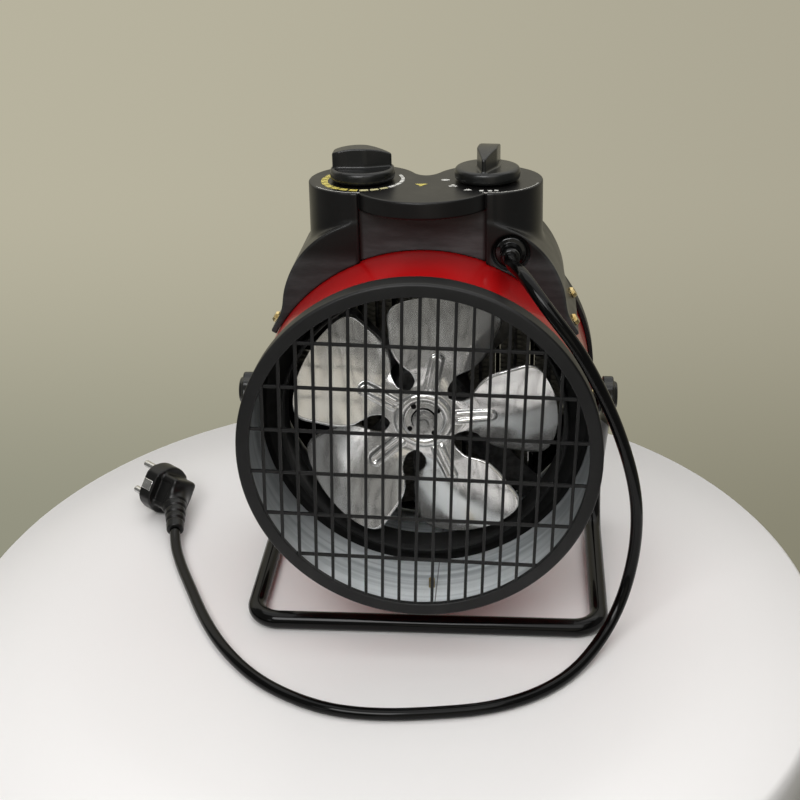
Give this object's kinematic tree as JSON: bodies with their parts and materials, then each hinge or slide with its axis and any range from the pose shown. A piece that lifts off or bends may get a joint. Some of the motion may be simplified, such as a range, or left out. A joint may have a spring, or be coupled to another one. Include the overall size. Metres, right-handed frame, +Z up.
{
  "type": "fan heater",
  "caption": "Round drum fan heater on a bent tube stand, with a grille at each end, a pressed fan, a saddle with two knobs and a mains cord with an angled plug.",
  "frame": {"origin": "on the floor, at the bottom centre of the heater without its cord and plug", "axes": "+Z up, +Y from the intake grille to the outlet grille, +X to the right seen from the intake side"},
  "size_m": [0.338, 0.2322, 0.2755],
  "materials": {
    "red_lacquer": "gloss lacquer on rolled steel sheet",
    "black_moulding": "satin moulding",
    "bright_sheet": "bright rolled sheet",
    "steel": "plain turned and pressed steel",
    "shroud_sheet": "black satin paint",
    "heater_frame": "heat resistant moulding",
    "heater_fins": "blackened corrugated sheet",
    "black_lacquer": "gloss stoved enamel",
    "zinc_yellow": "yellow zinc plate on steel",
    "switch_plastic": "plain moulding",
    "cord_sheath": "smooth sheath",
    "plug_moulding": "satin moulding",
    "plug_metal": "bright nickel plate"
  },
  "bodies": {
    "stand": {"stand_tube": "black_lacquer", "power_cord": "cord_sheath", "plug_body": "plug_moulding", "plug_pin_1": "plug_metal", "plug_pin_2": "plug_metal", "plug_earth_clip": "plug_metal"},
    "drum": {"casing": "red_lacquer", "rear_grille": "black_moulding", "outlet_grille": "black_moulding", "fan_shroud": "shroud_sheet", "motor_body": "steel", "motor_bracket": "steel", "motor_screw_1": "zinc_yellow", "motor_screw_2": "zinc_yellow", "heater_frame": "heater_frame", "heater_fins_1": "heater_fins", "heater_fins_2": "heater_fins", "heater_fins_3": "heater_fins", "heater_fins_4": "heater_fins", "heater_fins_5": "heater_fins", "heater_fins_6": "heater_fins", "heater_fins_7": "heater_fins", "heater_fins_8": "heater_fins", "control_box": "black_moulding", "thermostat_body": "bright_sheet", "mode_switch_body": "switch_plastic", "terminal_block": "switch_plastic", "cord_gland": "black_moulding", "pivot_bolt_left": "zinc_yellow", "pivot_bolt_right": "zinc_yellow", "pivot_spacer_left": "black_lacquer", "pivot_spacer_right": "black_lacquer", "saddle_screw_1": "zinc_yellow", "saddle_screw_2": "zinc_yellow", "saddle_screw_3": "zinc_yellow", "saddle_screw_4": "zinc_yellow", "side_screw_left": "zinc_yellow", "side_screw_right": "zinc_yellow", "lower_screw": "zinc_yellow"},
    "fan": {"fan_impeller": "bright_sheet", "fan_washer": "bright_sheet", "fan_nut": "steel", "motor_shaft": "steel"},
    "thermostat_control": {"thermostat_knob": "black_moulding", "thermostat_spindle": "steel"},
    "mode_control": {"mode_knob": "black_moulding", "mode_spindle": "steel"},
    "left_clamp": {"clamp_knob_left": "black_moulding"},
    "right_clamp": {"clamp_knob_right": "black_moulding"}
  },
  "joints": [
    {"name": "drum_tilt", "type": "hinge", "parent": "stand", "child": "drum", "pos_m": [0, 0.004, 0.13203], "axis": [1, 0, 0], "range_deg": [-15, 30], "deforming": ["power_cord"]},
    {"name": "fan_spin", "type": "hinge", "parent": "drum", "child": "fan", "pos_m": [0, -0.02034, 0.12761], "axis": [0, 0.9979, -0.0652], "continuous": true},
    {"name": "thermostat_turn", "type": "hinge", "parent": "drum", "child": "thermostat_control", "pos_m": [-0.035, 0.02509, 0.25542], "axis": [0, 0.0652, 0.9979], "range_deg": [-135, 135]},
    {"name": "mode_turn", "type": "hinge", "parent": "drum", "child": "mode_control", "pos_m": [0.035, 0.02509, 0.25542], "axis": [0, 0.0652, 0.9979], "range_deg": [-84, 0]},
    {"name": "left_clamp_turn", "type": "hinge", "parent": "drum", "child": "left_clamp", "pos_m": [-0.107, 0.004, 0.13203], "axis": [1, 0, 0], "range_deg": [0, 180]},
    {"name": "right_clamp_turn", "type": "hinge", "parent": "drum", "child": "right_clamp", "pos_m": [0.107, 0.004, 0.13203], "axis": [1, 0, 0], "range_deg": [-180, 0]}
  ]
}
